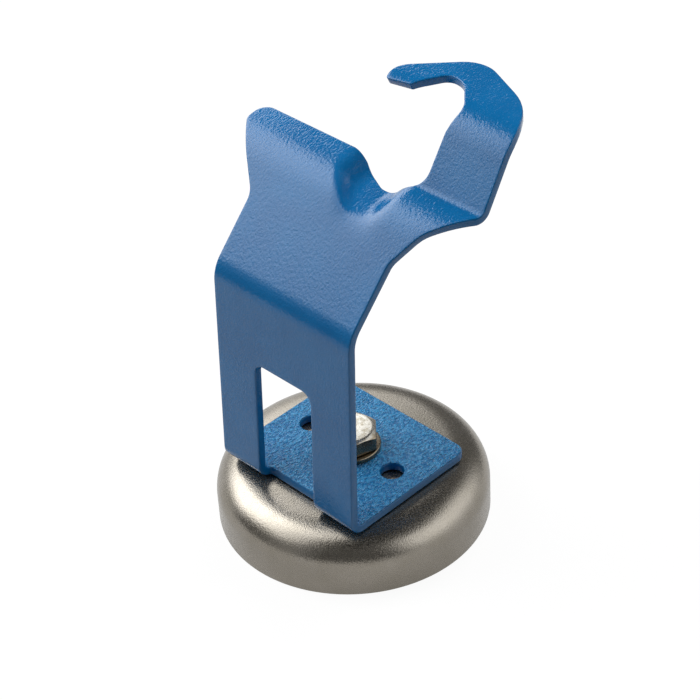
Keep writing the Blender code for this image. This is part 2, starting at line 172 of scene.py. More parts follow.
nickel_tone = add_node(nickel, "ShaderNodeMix", {"data_type": "RGBA"},
                       {"Factor": cloud.outputs["Fac"], "A": linear("#868074"), "B": linear("#98928a")})
nickel_dents = add_node(nickel, "ShaderNodeBump", {},
                        {"Height": grain.outputs["Fac"], "Strength": 1.0, "Distance": 0.055 * mm})
nickel.node_tree.links.new(nickel_tone.outputs["Result"], nickel_shader.inputs["Base Color"])
nickel.node_tree.links.new(nickel_gloss.outputs["Result"], nickel_shader.inputs["Roughness"])
nickel.node_tree.links.new(nickel_dents.outputs["Normal"], nickel_shader.inputs["Normal"])
nickel_shader.inputs["Metallic"].default_value = 0.95
cup.data.materials.append(nickel)
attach(cup, "magnet_base")
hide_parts("magnet_cup")

# The ring magnet is pressed and sintered ferrite with ground faces.  It sits
# in the cup, a little above the rim, and shows only when the holder is lifted.
ferrite_inner_radius = 18.0 * mm
ferrite_outer_radius = 31.5 * mm
ferrite_chamfer = 0.3 * mm
ferrite_chamfer_top = 0.9 * mm
core_top = 13.7 * mm

ferrite_profile = np.vstack([
    arc((ferrite_inner_radius + ferrite_chamfer, ferrite_chamfer_top),
        (ferrite_chamfer, ferrite_chamfer), 180.0, 270.0, 4),
    arc((ferrite_outer_radius - ferrite_chamfer, ferrite_chamfer_top),
        (ferrite_chamfer, ferrite_chamfer), 270.0, 360.0, 4),
    [[ferrite_outer_radius, core_top], [ferrite_inner_radius, core_top]]])
ring_magnet = turned("ring_magnet", ferrite_profile[:, 0], ferrite_profile[:, 1], True)
ring_magnet.data.set_sharp_from_angle(angle=crease_angle)

# Sintered ferrite: charcoal grey and matt, ground flat.  Its pores are too
# fine to show and are drawn about 0.7 mm wide.
ferrite = bpy.data.materials.new("ground sintered ferrite")
ferrite.use_nodes = True
ferrite_shader = ferrite.node_tree.nodes["Principled BSDF"]
ferrite_place = add_node(ferrite, "ShaderNodeTexCoord", {}, {}).outputs["Object"]
pores = add_node(ferrite, "ShaderNodeTexNoise", {},
                 {"Vector": ferrite_place, "Scale": 1.0 / (0.7 * mm), "Detail": 4.0, "Roughness": 0.65})
soot = add_node(ferrite, "ShaderNodeMix", {"data_type": "RGBA"},
                {"Factor": pores.outputs["Fac"], "A": linear("#26272a"), "B": linear("#3c3d41")})
pits = add_node(ferrite, "ShaderNodeBump", {},
                {"Height": pores.outputs["Fac"], "Strength": 0.4, "Distance": 0.05 * mm})
ferrite.node_tree.links.new(soot.outputs["Result"], ferrite_shader.inputs["Base Color"])
ferrite.node_tree.links.new(pits.outputs["Normal"], ferrite_shader.inputs["Normal"])
ferrite_shader.inputs["Roughness"].default_value = 0.62
ring_magnet.data.materials.append(ferrite)
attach(ring_magnet, "magnet_base")
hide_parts("ferrite_ring")

# Two rings of resin fill the gaps between pole, magnet and cup.  They are
# poured with the cup's mouth up, so each skin creeps up at both its walls.
pole_radius = 14.0 * mm
resin_gap = 0.3 * mm
resin_rim = 1.0 * mm
resin_sag = 0.25 * mm
outer_resin_top = 6.8 * mm

# Poured black epoxy: a slightly wavy, half-glossy skin, with waves of 2.5 mm.
resin = bpy.data.materials.new("poured black epoxy")
resin.use_nodes = True
resin_shader = resin.node_tree.nodes["Principled BSDF"]
resin_place = add_node(resin, "ShaderNodeTexCoord", {}, {}).outputs["Object"]
waves = add_node(resin, "ShaderNodeTexNoise", {},
                 {"Vector": resin_place, "Scale": 1.0 / (2.5 * mm), "Detail": 2.0, "Roughness": 0.5})
murk = add_node(resin, "ShaderNodeMix", {"data_type": "RGBA"},
                {"Factor": waves.outputs["Fac"], "A": linear("#1b1b1d"), "B": linear("#29292c")})
skin = add_node(resin, "ShaderNodeBump", {},
                {"Height": waves.outputs["Fac"], "Strength": 0.5, "Distance": 0.12 * mm})
resin.node_tree.links.new(murk.outputs["Result"], resin_shader.inputs["Base Color"])
resin.node_tree.links.new(skin.outputs["Normal"], resin_shader.inputs["Normal"])
resin_shader.inputs["Roughness"].default_value = 0.38
resin_shader.inputs["IOR"].default_value = 1.55

for name, inner, outer, top in (
        ("inner_resin", pole_radius + resin_gap, ferrite_inner_radius - resin_gap, core_top),
        ("outer_resin", ferrite_outer_radius + resin_gap, cup_inner_radius - resin_gap, outer_resin_top)):
    across = np.linspace(-1.0, 1.0, 9)
    skin_radius = (inner + outer) / 2.0 + across * (outer - inner) / 2.0
    skin_height = resin_rim + resin_sag * (1.0 - across ** 2)
    fill = turned(name, np.append(skin_radius, [outer, inner]), np.append(skin_height, [top, top]), True)
    fill.data.set_sharp_from_angle(angle=crease_angle)
    fill.data.materials.append(resin)
    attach(fill, "magnet_base")
    node_name = name.replace("resin", "filler_ring")
    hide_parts(node_name)

# The centre pole is turned from steel bar, carries the bolt's bore and closes
# the magnet's circuit on the bench.  Its foot is faced and lightly rounded.
pole_round = 0.4 * mm
pole_bore_low = 2.5 * mm

pole_profile = np.vstack([
    arc((pole_radius - pole_round, pole_round), (pole_round, pole_round), -90.0, 0.0, 5),
    [[pole_radius, core_top], [cup_bore_radius, core_top], [cup_bore_radius, pole_bore_low]]])
pole = turned("steel_pole", pole_profile[:, 0], pole_profile[:, 1], False)
pole.data.set_sharp_from_angle(angle=crease_angle)

# Turned steel: the facing tool leaves rings about 0.2 mm apart round the axis,
# which dull its gloss.
pole_steel = bpy.data.materials.new("face-turned steel")
pole_steel.use_nodes = True
pole_shader = pole_steel.node_tree.nodes["Principled BSDF"]
pole_place = add_node(pole_steel, "ShaderNodeTexCoord", {}, {}).outputs["Object"]
rings = add_node(pole_steel, "ShaderNodeTexWave", {"wave_type": "RINGS", "rings_direction": "Z"},
                 {"Vector": pole_place, "Scale": 1.0 / (0.6 * mm), "Distortion": 0.4, "Detail": 1.0})
steel_tone = add_node(pole_steel, "ShaderNodeMix", {"data_type": "RGBA"},
                      {"Factor": rings.outputs["Fac"], "A": linear("#a9a8a4"), "B": linear("#bdbcb7")})
tool_marks = add_node(pole_steel, "ShaderNodeBump", {},
                      {"Height": rings.outputs["Fac"], "Strength": 0.3, "Distance": 0.02 * mm})
pole_steel.node_tree.links.new(steel_tone.outputs["Result"], pole_shader.inputs["Base Color"])
pole_steel.node_tree.links.new(tool_marks.outputs["Normal"], pole_shader.inputs["Normal"])
pole_shader.inputs["Metallic"].default_value = 1.0
pole_shader.inputs["Roughness"].default_value = 0.32
pole.data.materials.append(pole_steel)
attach(pole, "magnet_base")
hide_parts("centre_pole")

# The bracket is one piece of 2.5 mm sheet steel: cut flat by laser, bent, its
# torch trough pressed in, then powder coated all over.  First the chain of
# straight runs and bends that its outer face follows in the YZ plane.
sheet = 2.5 * mm
sheet_half_width = 26.1 * mm
face_start = (21.3 * mm, 18.3 * mm)
foot_front = 26.15 * mm
foot_radius = 2.0 * mm + sheet
wall_lean = math.radians(3.0)
wall_rise = 65.9 * mm
brow_radius = 11.0 * mm
slope_angle = math.radians(46.5)
slope_reach = 30.3 * mm
crown_radius = 20.0 * mm
crown_turn = math.radians(38.5)
shelf_run = 0.7 * mm
shin_foot_radius = 3.0 * mm
shin_foot_turn = math.radians(47.0)
shin_run = 14.0 * mm
knee_radius = 14.0 * mm
knee_turn = math.radians(51.0)
hook_run = 24.0 * mm
ear_run = 24.0 * mm

foot_turn = math.radians(90.0) + wall_lean
brow_turn = math.radians(90.0) - wall_lean - slope_angle
foot_tangent = foot_radius * math.tan(foot_turn / 2.0)
brow_tangent = brow_radius * math.tan(brow_turn / 2.0)
flange_run = face_start[0] + foot_front - foot_tangent
wall_run = wall_rise / math.cos(wall_lean) - foot_tangent - brow_tangent
# Each link is its length and its turn; a turn of nought is a straight run.
lower_links = [(flange_run, 0.0), (foot_radius * foot_turn, -foot_turn), (wall_run, 0.0),
               (brow_radius * brow_turn, -brow_turn), (slope_reach - brow_tangent, 0.0),
               (crown_radius * crown_turn, -crown_turn)]
arm_links = lower_links + [(shelf_run, 0.0), (shin_foot_radius * shin_foot_turn, shin_foot_turn),
                           (shin_run, 0.0), (knee_radius * knee_turn, -knee_turn), (hook_run, 0.0)]
ear_links = lower_links + [(ear_run, 0.0)]


def side_view(links, along):
    """Place (y, z) and heading after each distance along a chain of links.

    A straight link adds (cos h, sin h) times the distance; a bend of radius R
    adds R (sin h2 - sin h1, cos h1 - cos h2), where h is the heading.
    """
    length = np.array([link[0] for link in links])
    turn = np.array([link[1] for link in links])
    begin = np.concatenate([[0.0], np.cumsum(length)[:-1]])
    heading = np.concatenate([[np.pi], np.pi + np.cumsum(turn)[:-1]])
    radius = np.where(turn == 0.0, 1.0, length / np.where(turn == 0.0, 1.0, turn))
    after = heading + turn
    step_y = np.where(turn == 0.0, length * np.cos(heading), radius * (np.sin(after) - np.sin(heading)))
    step_z = np.where(turn == 0.0, length * np.sin(heading), radius * (np.cos(heading) - np.cos(after)))
    start_y = face_start[0] + np.concatenate([[0.0], np.cumsum(step_y)[:-1]])
    start_z = face_start[1] + np.concatenate([[0.0], np.cumsum(step_z)[:-1]])
    link = np.clip(np.searchsorted(begin, along, side="right") - 1, 0, len(links) - 1)
    part = along - begin[link]
    bent = heading[link] + np.where(turn[link] == 0.0, 0.0, part / radius[link])
    y = np.where(turn[link] == 0.0, start_y[link] + part * np.cos(heading[link]),
                 start_y[link] + radius[link] * (np.sin(bent) - np.sin(heading[link])))
    z = np.where(turn[link] == 0.0, start_z[link] + part * np.sin(heading[link]),
                 start_z[link] + radius[link] * (np.cos(heading[link]) - np.cos(bent)))
    return y, z, bent


# Distances along the sheet at which its outline changes, and the trough.
slope_start = sum(link[0] for link in lower_links[:4])
brow_line = slope_start - brow_tangent
root_line = brow_line + 22.8 * mm
ear_top_line = root_line + 25.8 * mm
cradle_edge_line = ear_top_line - 4.2 * mm
cradle_end = ear_top_line + 5.4 * mm
tip_line = cradle_edge_line + 24.6 * mm
brow_depth = -foot_front + wall_rise * math.tan(wall_lean)
brow_height = face_start[1] + wall_rise
trough_centre = 8.5 * mm
branch_line = trough_centre + 5.6 * mm
left_flank_reach = 11.0 * mm
left_flank_width = 9.0 * mm
left_flank_slant = 0.7
slant_depth = 1.0 * mm
slant_range = (-3.0 * mm, 6.0 * mm)
right_flank_reach = 10.7 * mm
right_flank_width = 10.0 * mm
trough_floor_rise = 21.5 * mm
trough_floor_depth = 20.4 * mm
trough_floor_climb = 0.13
trough_softness = 1.3 * mm


def ease(share):
    """S-curve of two parabolas: 2 t^2 up to the middle, 1 - 2 (1 - t)^2 after it."""
    t = np.clip(share, 0.0, 1.0)
    return np.where(t < 0.5, 2.0 * t * t, 1.0 - 2.0 * (1.0 - t) * (1.0 - t))


def outer_face(across, along):
    """Outer face of the bent sheet, with the trough pressed into it.

    The trough lowers z by b ln(1 + exp((z - floor) / b)) times an S-curve that
    rises and falls across it, where the floor climbs gently towards the back.
    """
    arm_y, arm_z, arm_heading = side_view(arm_links, along)
    ear_y, ear_z, ear_heading = side_view(ear_links, along)
    ear = (across < branch_line) & (along < cradle_end)
    y = np.where(ear, ear_y, arm_y)
    z = np.where(ear, ear_z, arm_z)
    heading = np.where(ear, ear_heading, arm_heading)
    flank_start = (trough_centre - left_flank_reach
                   - left_flank_slant * np.clip(y - slant_depth, slant_range[0], slant_range[1]))
    rising = ease((across - flank_start) / left_flank_width)
    falling = ease((trough_centre + right_flank_reach - across) / right_flank_width)
    floor_z = (brow_height + trough_floor_rise
               + trough_floor_climb * (y - brow_depth - trough_floor_depth))
    above = np.clip((z - floor_z) / trough_softness, -30.0, 30.0)
    drop = np.minimum(rising, falling) * trough_softness * np.log1p(np.exp(above))
    drop = np.where(along < cradle_end, drop, 0.0)
    return np.stack([across, y, z - drop], axis=1), heading


def sheet_point(across, along, depth):
    """Point at a depth below the outer face: face minus unit normal times depth."""
    probe = 0.01 * mm
    face, heading = outer_face(across, along)
    by_x = outer_face(across + probe, along)[0] - outer_face(across - probe, along)[0]
    plain = np.stack([np.zeros_like(heading), np.cos(heading), np.sin(heading)], axis=1)
    by_s = outer_face(across, along + probe)[0] - outer_face(across, along - probe)[0]
    # At the tear between ear and arm the slope across is that of the bend alone.
    steep = np.abs(by_x[:, 2]) > 6.0 * probe
    by_x = np.where(steep[:, None], np.array([[1.0, 0.0, 0.0]]), by_x)
    by_s = np.where(steep[:, None], plain, by_s)
    normal = np.cross(by_x, by_s)
    normal /= np.linalg.norm(normal, axis=1)[:, None]
    return face - normal * np.reshape(depth, (-1, 1))


# The flat blank: corners as (x, distance, corner radius), up the right side,
# round the hook and the torch's C-shaped gap, and down past the ear.
corners = np.array([
    (-sheet_half_width, 0.0, 4.0 * mm),
    (sheet_half_width, 0.0, 4.0 * mm),
    (sheet_half_width, root_line, 6.0 * mm),
    (31.2 * mm, root_line + 10.3 * mm, 16.0 * mm),
    (42.0 * mm, root_line + 22.7 * mm, 4.0 * mm),
    (40.8 * mm, tip_line + 7.7 * mm, 21.0 * mm),
    (12.2 * mm, tip_line + 20.0 * mm, 11.0 * mm),
    (-6.5 * mm, tip_line + 4.4 * mm, 7.0 * mm),
    (-5.2 * mm, tip_line - 1.1 * mm, 1.2 * mm),
    (3.0 * mm, tip_line + 0.3 * mm, 0.6 * mm),
    (9.0 * mm, tip_line + 9.3 * mm, 4.0 * mm),
    (14.6 * mm, tip_line + 8.8 * mm, 7.0 * mm),
    (22.1 * mm, tip_line + 0.3 * mm, 6.0 * mm),
    (21.0 * mm, tip_line - 8.0 * mm, 8.0 * mm),
    (21.0 * mm, cradle_edge_line, 6.0 * mm),
    (7.2 * mm, cradle_edge_line, 5.0 * mm),
    (-1.8 * mm, ear_top_line, 1.8 * mm),
    (-42.0 * mm, ear_top_line, 4.0 * mm),
    (-42.0 * mm, root_line + 18.7 * mm, 4.0 * mm),
    (-sheet_half_width, root_line, 6.0 * mm)])

# The window between the legs, and the holes of the flange.
window_front = 22.0 * mm
window_rise = 41.2 * mm
window_half_width = 10.9 * mm
window_low = face_start[0] + window_front
window_high = flange_run + lower_links[1][0] + window_rise / math.cos(wall_lean) - foot_tangent
window_corners = np.array([
    (-window_half_width, window_low, 0.8 * mm), (window_half_width, window_low, 0.8 * mm),
    (window_half_width, window_high, 3.5 * mm), (-window_half_width, window_high, 3.5 * mm)])
bolt_hole_radius = 5.5 * mm
side_hole_radius = 3.3 * mm
side_hole_reach = 16.4 * mm
outline_step = 0.7 * mm


def rounded(corner_table):
    """Closed outline: each corner becomes an arc that touches both its sides.

    The arc's tangent length is its radius times the tangent of half the turn,
    and never more than 0.88 of the shorter side.
    """
    spots = []
    count = len(corner_table)
    for index in range(count):
        here = corner_table[index, :2]
        back = corner_table[index - 1, :2] - here
        ahead = corner_table[(index + 1) % count, :2] - here
        shorter = min(np.linalg.norm(back), np.linalg.norm(ahead))
        back = back / np.linalg.norm(back)
        ahead = ahead / np.linalg.norm(ahead)
        bend = math.pi - math.acos(float(np.clip(back @ ahead, -1.0, 1.0)))
        tangent = min(corner_table[index, 2] * math.tan(bend / 2.0), 0.88 * shorter)
        radius = tangent / math.tan(bend / 2.0)
        middle = (back + ahead) / np.linalg.norm(back + ahead)
        centre = here + middle * radius / math.cos(bend / 2.0)
        first = here + back * tangent - centre
        last = here + ahead * tangent - centre
        start = math.atan2(first[1], first[0])
        sweep = math.atan2(first[0] * last[1] - first[1] * last[0], first @ last)
        turn = start + sweep * np.linspace(0.0, 1.0, max(4, math.ceil(abs(sweep) / 0.1)))
        spots.append(centre + radius * np.stack([np.cos(turn), np.sin(turn)], axis=1))
    return np.vstack(spots)


def evenly(loop, spacing):
    """The loop with its long sides divided, so that they can follow the bends."""
    ahead = np.roll(loop, -1, axis=0)
    parts = np.maximum(1, np.ceil(np.linalg.norm(ahead - loop, axis=1) / spacing).astype(int))
    side = np.repeat(np.arange(len(loop)), parts)
    share = (np.arange(len(side)) - np.repeat(np.cumsum(parts) - parts, parts)) / parts[side]
    return loop[side] + (ahead - loop)[side] * share[:, None]


def round_hole(x, radius):
    """Circle in the flange, on the line of the bolt: (x + r cos a, bolt + r sin a)."""
    turn = np.linspace(0.0, 2.0 * np.pi, 64, endpoint=False)
    return np.stack([x + radius * np.cos(turn), face_start[0] + radius * np.sin(turn)], axis=1)


def double_area(loop):
    """Twice the area inside a loop, positive where it runs anticlockwise."""
    return np.sum(loop[:, 0] * np.roll(loop[:, 1], -1) - loop[:, 1] * np.roll(loop[:, 0], -1))


def inward(loop, metal_inside):
    """Unit directions from the loop's points into the metal, square to the loop."""
    ahead = np.roll(loop, -1, axis=0) - np.roll(loop, 1, axis=0)
    ahead /= np.linalg.norm(ahead, axis=1)[:, None]
    side = 1.0 if (double_area(loop) > 0.0) == metal_inside else -1.0
    return side * np.stack([-ahead[:, 1], ahead[:, 0]], axis=1)


loops = [evenly(rounded(corners), outline_step), evenly(rounded(window_corners), outline_step),
         round_hole(0.0, bolt_hole_radius), round_hole(-side_hole_reach, side_hole_radius),
         round_hole(side_hole_reach, side_hole_radius)]
# Every loop runs with the metal on its left.
for index, loop in enumerate(loops):
    if (double_area(loop) > 0.0) != (index == 0):
        loops[index] = loop[::-1]

# The cut edges are rolled by tumbling and coating: a half-round profile of
# (inset, depth) is carried along every loop.
edge_round = 0.4 * mm
quarter = np.radians(np.linspace(0.0, 90.0, 5))
roll_inset = np.concatenate([edge_round * (1.0 - np.sin(quarter)), edge_round * (1.0 - np.cos(quarter))])
roll_depth = np.concatenate([edge_round * (1.0 - np.cos(quarter)),
                             sheet - edge_round * (1.0 - np.sin(quarter))])
rims = [loop + inward(loop, index == 0) * edge_round for index, loop in enumerate(loops)]


def inside(loop, spots):
    """Even-odd test of spots against one loop, one loop side at a time."""
    result = np.zeros(len(spots), bool)
    for first, last in zip(loop, np.roll(loop, -1, axis=0)):
        crosses = (first[1] > spots[:, 1]) != (last[1] > spots[:, 1])
        rise = last[1] - first[1]
        limit = first[0] + (spots[:, 1] - first[1]) * (last[0] - first[0]) / (rise if rise else 1.0)
        result ^= crosses & (spots[:, 0] < limit)
    return result


def on_metal(spots):
    """True where a spot lies inside the outline's rim and outside every hole's."""
    keep = inside(rims[0], spots)
    for rim in rims[1:]:
        keep &= ~inside(rim, spots)
    return keep


# Rows of points across the blank, close together in the bends and the trough,
# kept clear of the rims so that no sliver lies along an edge.
grid_step = 0.9 * mm
grid_turn = math.radians(3.0)
rim_clearance = 0.35 * mm
row_marks = [0.0]
for length, turn in arm_links:
    steps = max(math.ceil(abs(turn) / grid_turn), math.ceil(length / grid_step))
    row_marks += [row_marks[-1] + length * (step + 1) / steps for step in range(steps)]
column_marks = np.arange(-42.0, 42.1, 0.9) * mm
grid_x, grid_s = np.meshgrid(column_marks, np.array(row_marks))
grid = np.stack([grid_x.ravel(), grid_s.ravel()], axis=1)
grid = grid[on_metal(grid)]
all_rims = np.vstack(rims)
rim_distance = np.concatenate([
    np.abs(block[:, None, :] - all_rims[None, :, :]).sum(axis=2).min(axis=1)
    for block in np.array_split(grid, 24)])
grid = grid[rim_distance > rim_clearance]

# The blank is cut into triangles between its rims, then carried onto both
# faces of the bent sheet; rows of quads along every loop join the two faces.
flat_spots = np.vstack([all_rims, grid])
rim_starts = np.cumsum([0] + [len(rim) for rim in rims])
rim_sides = [(start + index, start + (index + 1) % len(rim))
             for start, rim in zip(rim_starts, rims) for index in range(len(rim))]
cut = delaunay_2d_cdt([Vector(spot) for spot in flat_spots / mm], rim_sides, [], 0, 1e-6)
cut_spots = np.array([tuple(spot) for spot in cut[0]]) * mm
cut_faces = np.array([tuple(face) for face in cut[2]])
cut_faces = cut_faces[on_metal(cut_spots[cut_faces].mean(axis=1))]
new_of_old = np.zeros(len(flat_spots), int)
new_of_old[np.concatenate(cut[3]).astype(int)] = np.repeat(
    np.arange(len(cut[3])), [len(sources) for sources in cut[3]])

points = [sheet_point(cut_spots[:, 0], cut_spots[:, 1], np.zeros(len(cut_spots))),
          sheet_point(cut_spots[:, 0], cut_spots[:, 1], np.full(len(cut_spots), sheet))]
quads = []
total = 2 * len(cut_spots)
for start, loop in zip(rim_starts, loops):
    count = len(loop)
    into = inward(loop, start == 0)
    rim_rows = [new_of_old[start:start + count]]
    for inset, depth in zip(roll_inset[1:-1], roll_depth[1:-1]):
        spot = loop + into * inset
        points.append(sheet_point(spot[:, 0], spot[:, 1], np.full(count, depth)))
        rim_rows.append(np.arange(total, total + count))
        total += count
    rim_rows.append(len(cut_spots) + new_of_old[start:start + count])
    for upper, lower in zip(rim_rows[:-1], rim_rows[1:]):
        quads.append(np.stack([upper, lower, np.roll(lower, -1), np.roll(upper, -1)], axis=1))
triangles = np.vstack([cut_faces, len(cut_spots) + cut_faces[:, ::-1]])
bracket = put_mesh("blue_bracket", np.vstack(points), np.vstack(quads), triangles)

# How freely the coat could wrinkle as it was baked: most on the level flange,
# hardly at all on the level parts above it, not at all on the steep faces.
# The same share lays the flange's painted lighter blue and painted crest
# highlights.
facing = np.zeros(3 * len(bracket.data.vertices), np.float32)
bracket.data.vertex_normals.foreach_get("vector", facing)
level_share = np.clip((facing[2::3] - 0.82) / 0.13, 0.0, 1.0)
low_share = np.clip((30.0 * mm - np.vstack(points)[:, 2]) / (6.0 * mm), 0.0, 1.0)
wrinkle_and_painted_light = bracket.data.attributes.new("wrinkle_and_painted_light", "FLOAT", "POINT")
wrinkle_and_painted_light.data.foreach_set("value", (level_share * (0.02 + 0.98 * low_share)).astype(np.float32))

# Fine-texture powder coat on steel: baked blue polyester.  It flows into
# wrinkles about 0.6 mm wide and 1.1 mm long from front to back, with grit of
# 0.4 mm on them.  It is half-glossy, so it catches pale reflections on the
# slanted faces and stays deep blue elsewhere.  On the flange its blue is
# painted lighter, which stands in for light, and its crests are painted paler
# still: painted highlights for the glints on its wrinkles.
coat = bpy.data.materials.new("blue fine-texture powder coat")
coat.use_nodes = True
coat_shader = coat.node_tree.nodes["Principled BSDF"]
coat_place = add_node(coat, "ShaderNodeTexCoord", {}, {}).outputs["Object"]
drawn = add_node(coat, "ShaderNodeMapping", {},
                 {"Vector": coat_place, "Rotation": (0.0, 0.0, math.radians(-17.0)),
                  "Scale": (1.2, 0.66, 1.0)})
wrinkle = add_node(coat, "ShaderNodeTexNoise", {},
                   {"Vector": drawn.outputs["Vector"], "Scale": 1.0 / (0.75 * mm), "Detail": 1.0,
                    "Roughness": 0.5, "Distortion": 0.4})
grit = add_node(coat, "ShaderNodeTexNoise", {},
                {"Vector": coat_place, "Scale": 1.0 / (0.42 * mm), "Detail": 1.0, "Roughness": 0.5})
film = add_node(coat, "ShaderNodeTexNoise", {},
                {"Vector": coat_place, "Scale": 1.0 / (14.0 * mm), "Detail": 2.0, "Roughness": 0.5})
relief = add_node(coat, "ShaderNodeMix", {"data_type": "FLOAT"},
                  {"Factor": 0.25, "A": wrinkle.outputs["Fac"], "B": grit.outputs["Fac"]})
film_share = add_node(coat, "ShaderNodeMapRange", {},
                      {"Value": film.outputs["Fac"], "From Min": 0.3, "From Max": 0.7,
                       "To Min": 0.0, "To Max": 1.0})
film_blue = add_node(coat, "ShaderNodeMix", {"data_type": "RGBA"},
                     {"Factor": film_share.outputs["Result"],
                      "A": linear("#0766a3"), "B": linear("#096eac")})
# Painted light on the flange: a lighter blue, with its wrinkle crests painted paler still as highlights.
painted_crest_highlight = add_node(coat, "ShaderNodeMapRange", {"interpolation_type": "SMOOTHSTEP"},
                 {"Value": relief.outputs["Result"], "From Min": 0.40, "From Max": 0.62})
flange_blue_painted_light = add_node(coat, "ShaderNodeMix", {"data_type": "RGBA"},
                       {"Factor": painted_crest_highlight.outputs["Result"], "A": linear("#1070ac"), "B": linear("#429fd6")})
coat_wrinkle_and_painted_light = add_node(coat, "ShaderNodeAttribute", {"attribute_name": "wrinkle_and_painted_light"}, {}).outputs["Fac"]
coat_blue = add_node(coat, "ShaderNodeMix", {"data_type": "RGBA"},
                     {"Factor": coat_wrinkle_and_painted_light, "A": film_blue.outputs["Result"],
                      "B": flange_blue_painted_light.outputs["Result"]})
swell = add_node(coat, "ShaderNodeMapRange", {}, {"Value": coat_wrinkle_and_painted_light, "To Min": 0.065, "To Max": 1.0})
coat_height = add_node(coat, "ShaderNodeMath", {"operation": "MULTIPLY"},
                       {0: relief.outputs["Result"], 1: swell.outputs["Result"]})
ripple = add_node(coat, "ShaderNodeBump", {},
                  {"Height": coat_height.outputs[0], "Strength": 1.0, "Distance": 1.9 * mm})
coat.node_tree.links.new(coat_blue.outputs["Result"], coat_shader.inputs["Base Color"])
coat.node_tree.links.new(ripple.outputs["Normal"], coat_shader.inputs["Normal"])
coat_shader.inputs["Roughness"].default_value = 0.155
coat_shader.inputs["IOR"].default_value = 1.42
bracket.data.materials.append(coat)
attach(bracket, "bracket")
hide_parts("torch_bracket")

# The plain washer spreads the bolt's load: punched from strip and zinc plated,
# so its upper rims are rolled over and its lower ones nearly sharp.
washer_low = 21.1 * mm
washer_high = washer_low + 1.5 * mm
washer_radius = 8.7 * mm
washer_bore_radius = 5.3 * mm
washer_low_round = 0.1 * mm
washer_rim_round = 0.4 * mm
washer_bore_round = 0.3 * mm

washer_profile = np.vstack([
    arc((washer_radius - washer_low_round, washer_low + washer_low_round),
        (washer_low_round, washer_low_round), -90.0, 0.0, 3),
    arc((washer_radius - washer_rim_round, washer_high - washer_rim_round),
        (washer_rim_round, washer_rim_round), 0.0, 90.0, 7),
    arc((washer_bore_radius + washer_bore_round, washer_high - washer_bore_round),
        (washer_bore_round, washer_bore_round), 90.0, 180.0, 5),
    [[washer_bore_radius, washer_low]]])
washer = turned("plain_washer_plated", washer_profile[:, 0], washer_profile[:, 1], True)
washer.data.set_sharp_from_angle(angle=crease_angle)

# Bright zinc plate: a pale, slightly warm metal with a crystalline sparkle
# about 0.5 mm wide, and darker smudges of 1.8 mm where the passivation ran.
# Below the bolt's top face, on the head's sides and the whole washer, its tone
# is painted darker and browner: painted shade for the dark those faces mirror.
zinc = bpy.data.materials.new("bright zinc plate")
zinc.use_nodes = True
zinc_shader = zinc.node_tree.nodes["Principled BSDF"]
zinc_place = add_node(zinc, "ShaderNodeTexCoord", {}, {}).outputs["Object"]
smudge = add_node(zinc, "ShaderNodeTexNoise", {},
                  {"Vector": zinc_place, "Scale": 1.0 / (1.8 * mm), "Detail": 3.0, "Roughness": 0.6})
crystal = add_node(zinc, "ShaderNodeTexNoise", {},
                   {"Vector": zinc_place, "Scale": 1.0 / (0.5 * mm), "Detail": 2.0, "Roughness": 0.6})
stain = add_node(zinc, "ShaderNodeMapRange", {},
                 {"Value": smudge.outputs["Fac"], "From Min": 0.50, "From Max": 0.66,
                  "To Min": 0.0, "To Max": 1.0})
stained_zinc = add_node(zinc, "ShaderNodeMix", {"data_type": "RGBA"},
                        {"Factor": stain.outputs["Result"], "A": linear("#d6d2c8"), "B": linear("#b5ad9c")})
zinc_height = add_node(zinc, "ShaderNodeSeparateXYZ", {}, {"Vector": zinc_place})
# Painted shade: below 27.3 mm the zinc takes a darker brown tone.
top_versus_painted_shade = add_node(zinc, "ShaderNodeMapRange", {},
                 {"Value": zinc_height.outputs["Z"], "From Min": 27.3 * mm, "From Max": 27.9 * mm,
                  "To Min": 0.0, "To Max": 1.0})
zinc_tone = add_node(zinc, "ShaderNodeMix", {"data_type": "RGBA"},
                     {"Factor": top_versus_painted_shade.outputs["Result"], "A": linear("#7c7262"),
                      "B": stained_zinc.outputs["Result"]})
zinc_gloss = add_node(zinc, "ShaderNodeMapRange", {},
                      {"Value": crystal.outputs["Fac"], "From Min": 0.3, "From Max": 0.7,
                       "To Min": 0.22, "To Max": 0.36})
zinc_dents = add_node(zinc, "ShaderNodeBump", {},
                      {"Height": crystal.outputs["Fac"], "Strength": 0.4, "Distance": 0.03 * mm})
zinc.node_tree.links.new(zinc_tone.outputs["Result"], zinc_shader.inputs["Base Color"])
zinc.node_tree.links.new(zinc_gloss.outputs["Result"], zinc_shader.inputs["Roughness"])
zinc.node_tree.links.new(zinc_dents.outputs["Normal"], zinc_shader.inputs["Normal"])
zinc_shader.inputs["Metallic"].default_value = 1.0
washer.data.materials.append(zinc)
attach(washer, "magnet_base")
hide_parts("plain_washer")

# The M10 hexagon bolt is cold forged and zinc plated: its head has a turned
# cone over the six corners, and its shank runs down into the pole's bore.
head_low = washer_high + 0.3 * mm
head_high = head_low + 5.2 * mm
head_apothem = 7.4 * mm
head_circle = 0.91 * head_apothem
head_turn = math.radians(45.0)
head_cone = math.radians(33.0)
head_crease = math.radians(22.0)
corner_sharpness = 60.0
shank_radius = 5.0 * mm
shank_end_radius = 4.2 * mm
shank_low = 3.5 * mm
shank_chamfer = 0.8 * mm
head_bevel = 0.2 * mm
cone_round = 0.1 * mm
head_middle_radius = 3.0 * mm

angle = np.linspace(0.0, 2.0 * np.pi, turn_count, endpoint=False)
# Rounded hexagon: the apothem over a high norm of the cosines to its six flats.
flats = np.abs(np.cos((angle - head_turn)[:, None] - np.radians([0.0, 60.0, 120.0])[None, :]))
hexagon = head_apothem / np.sum(flats ** corner_sharpness, axis=1) ** (1.0 / corner_sharpness)
cone = head_high - (hexagon - head_circle) * math.tan(head_cone)
all_round = np.ones(turn_count)
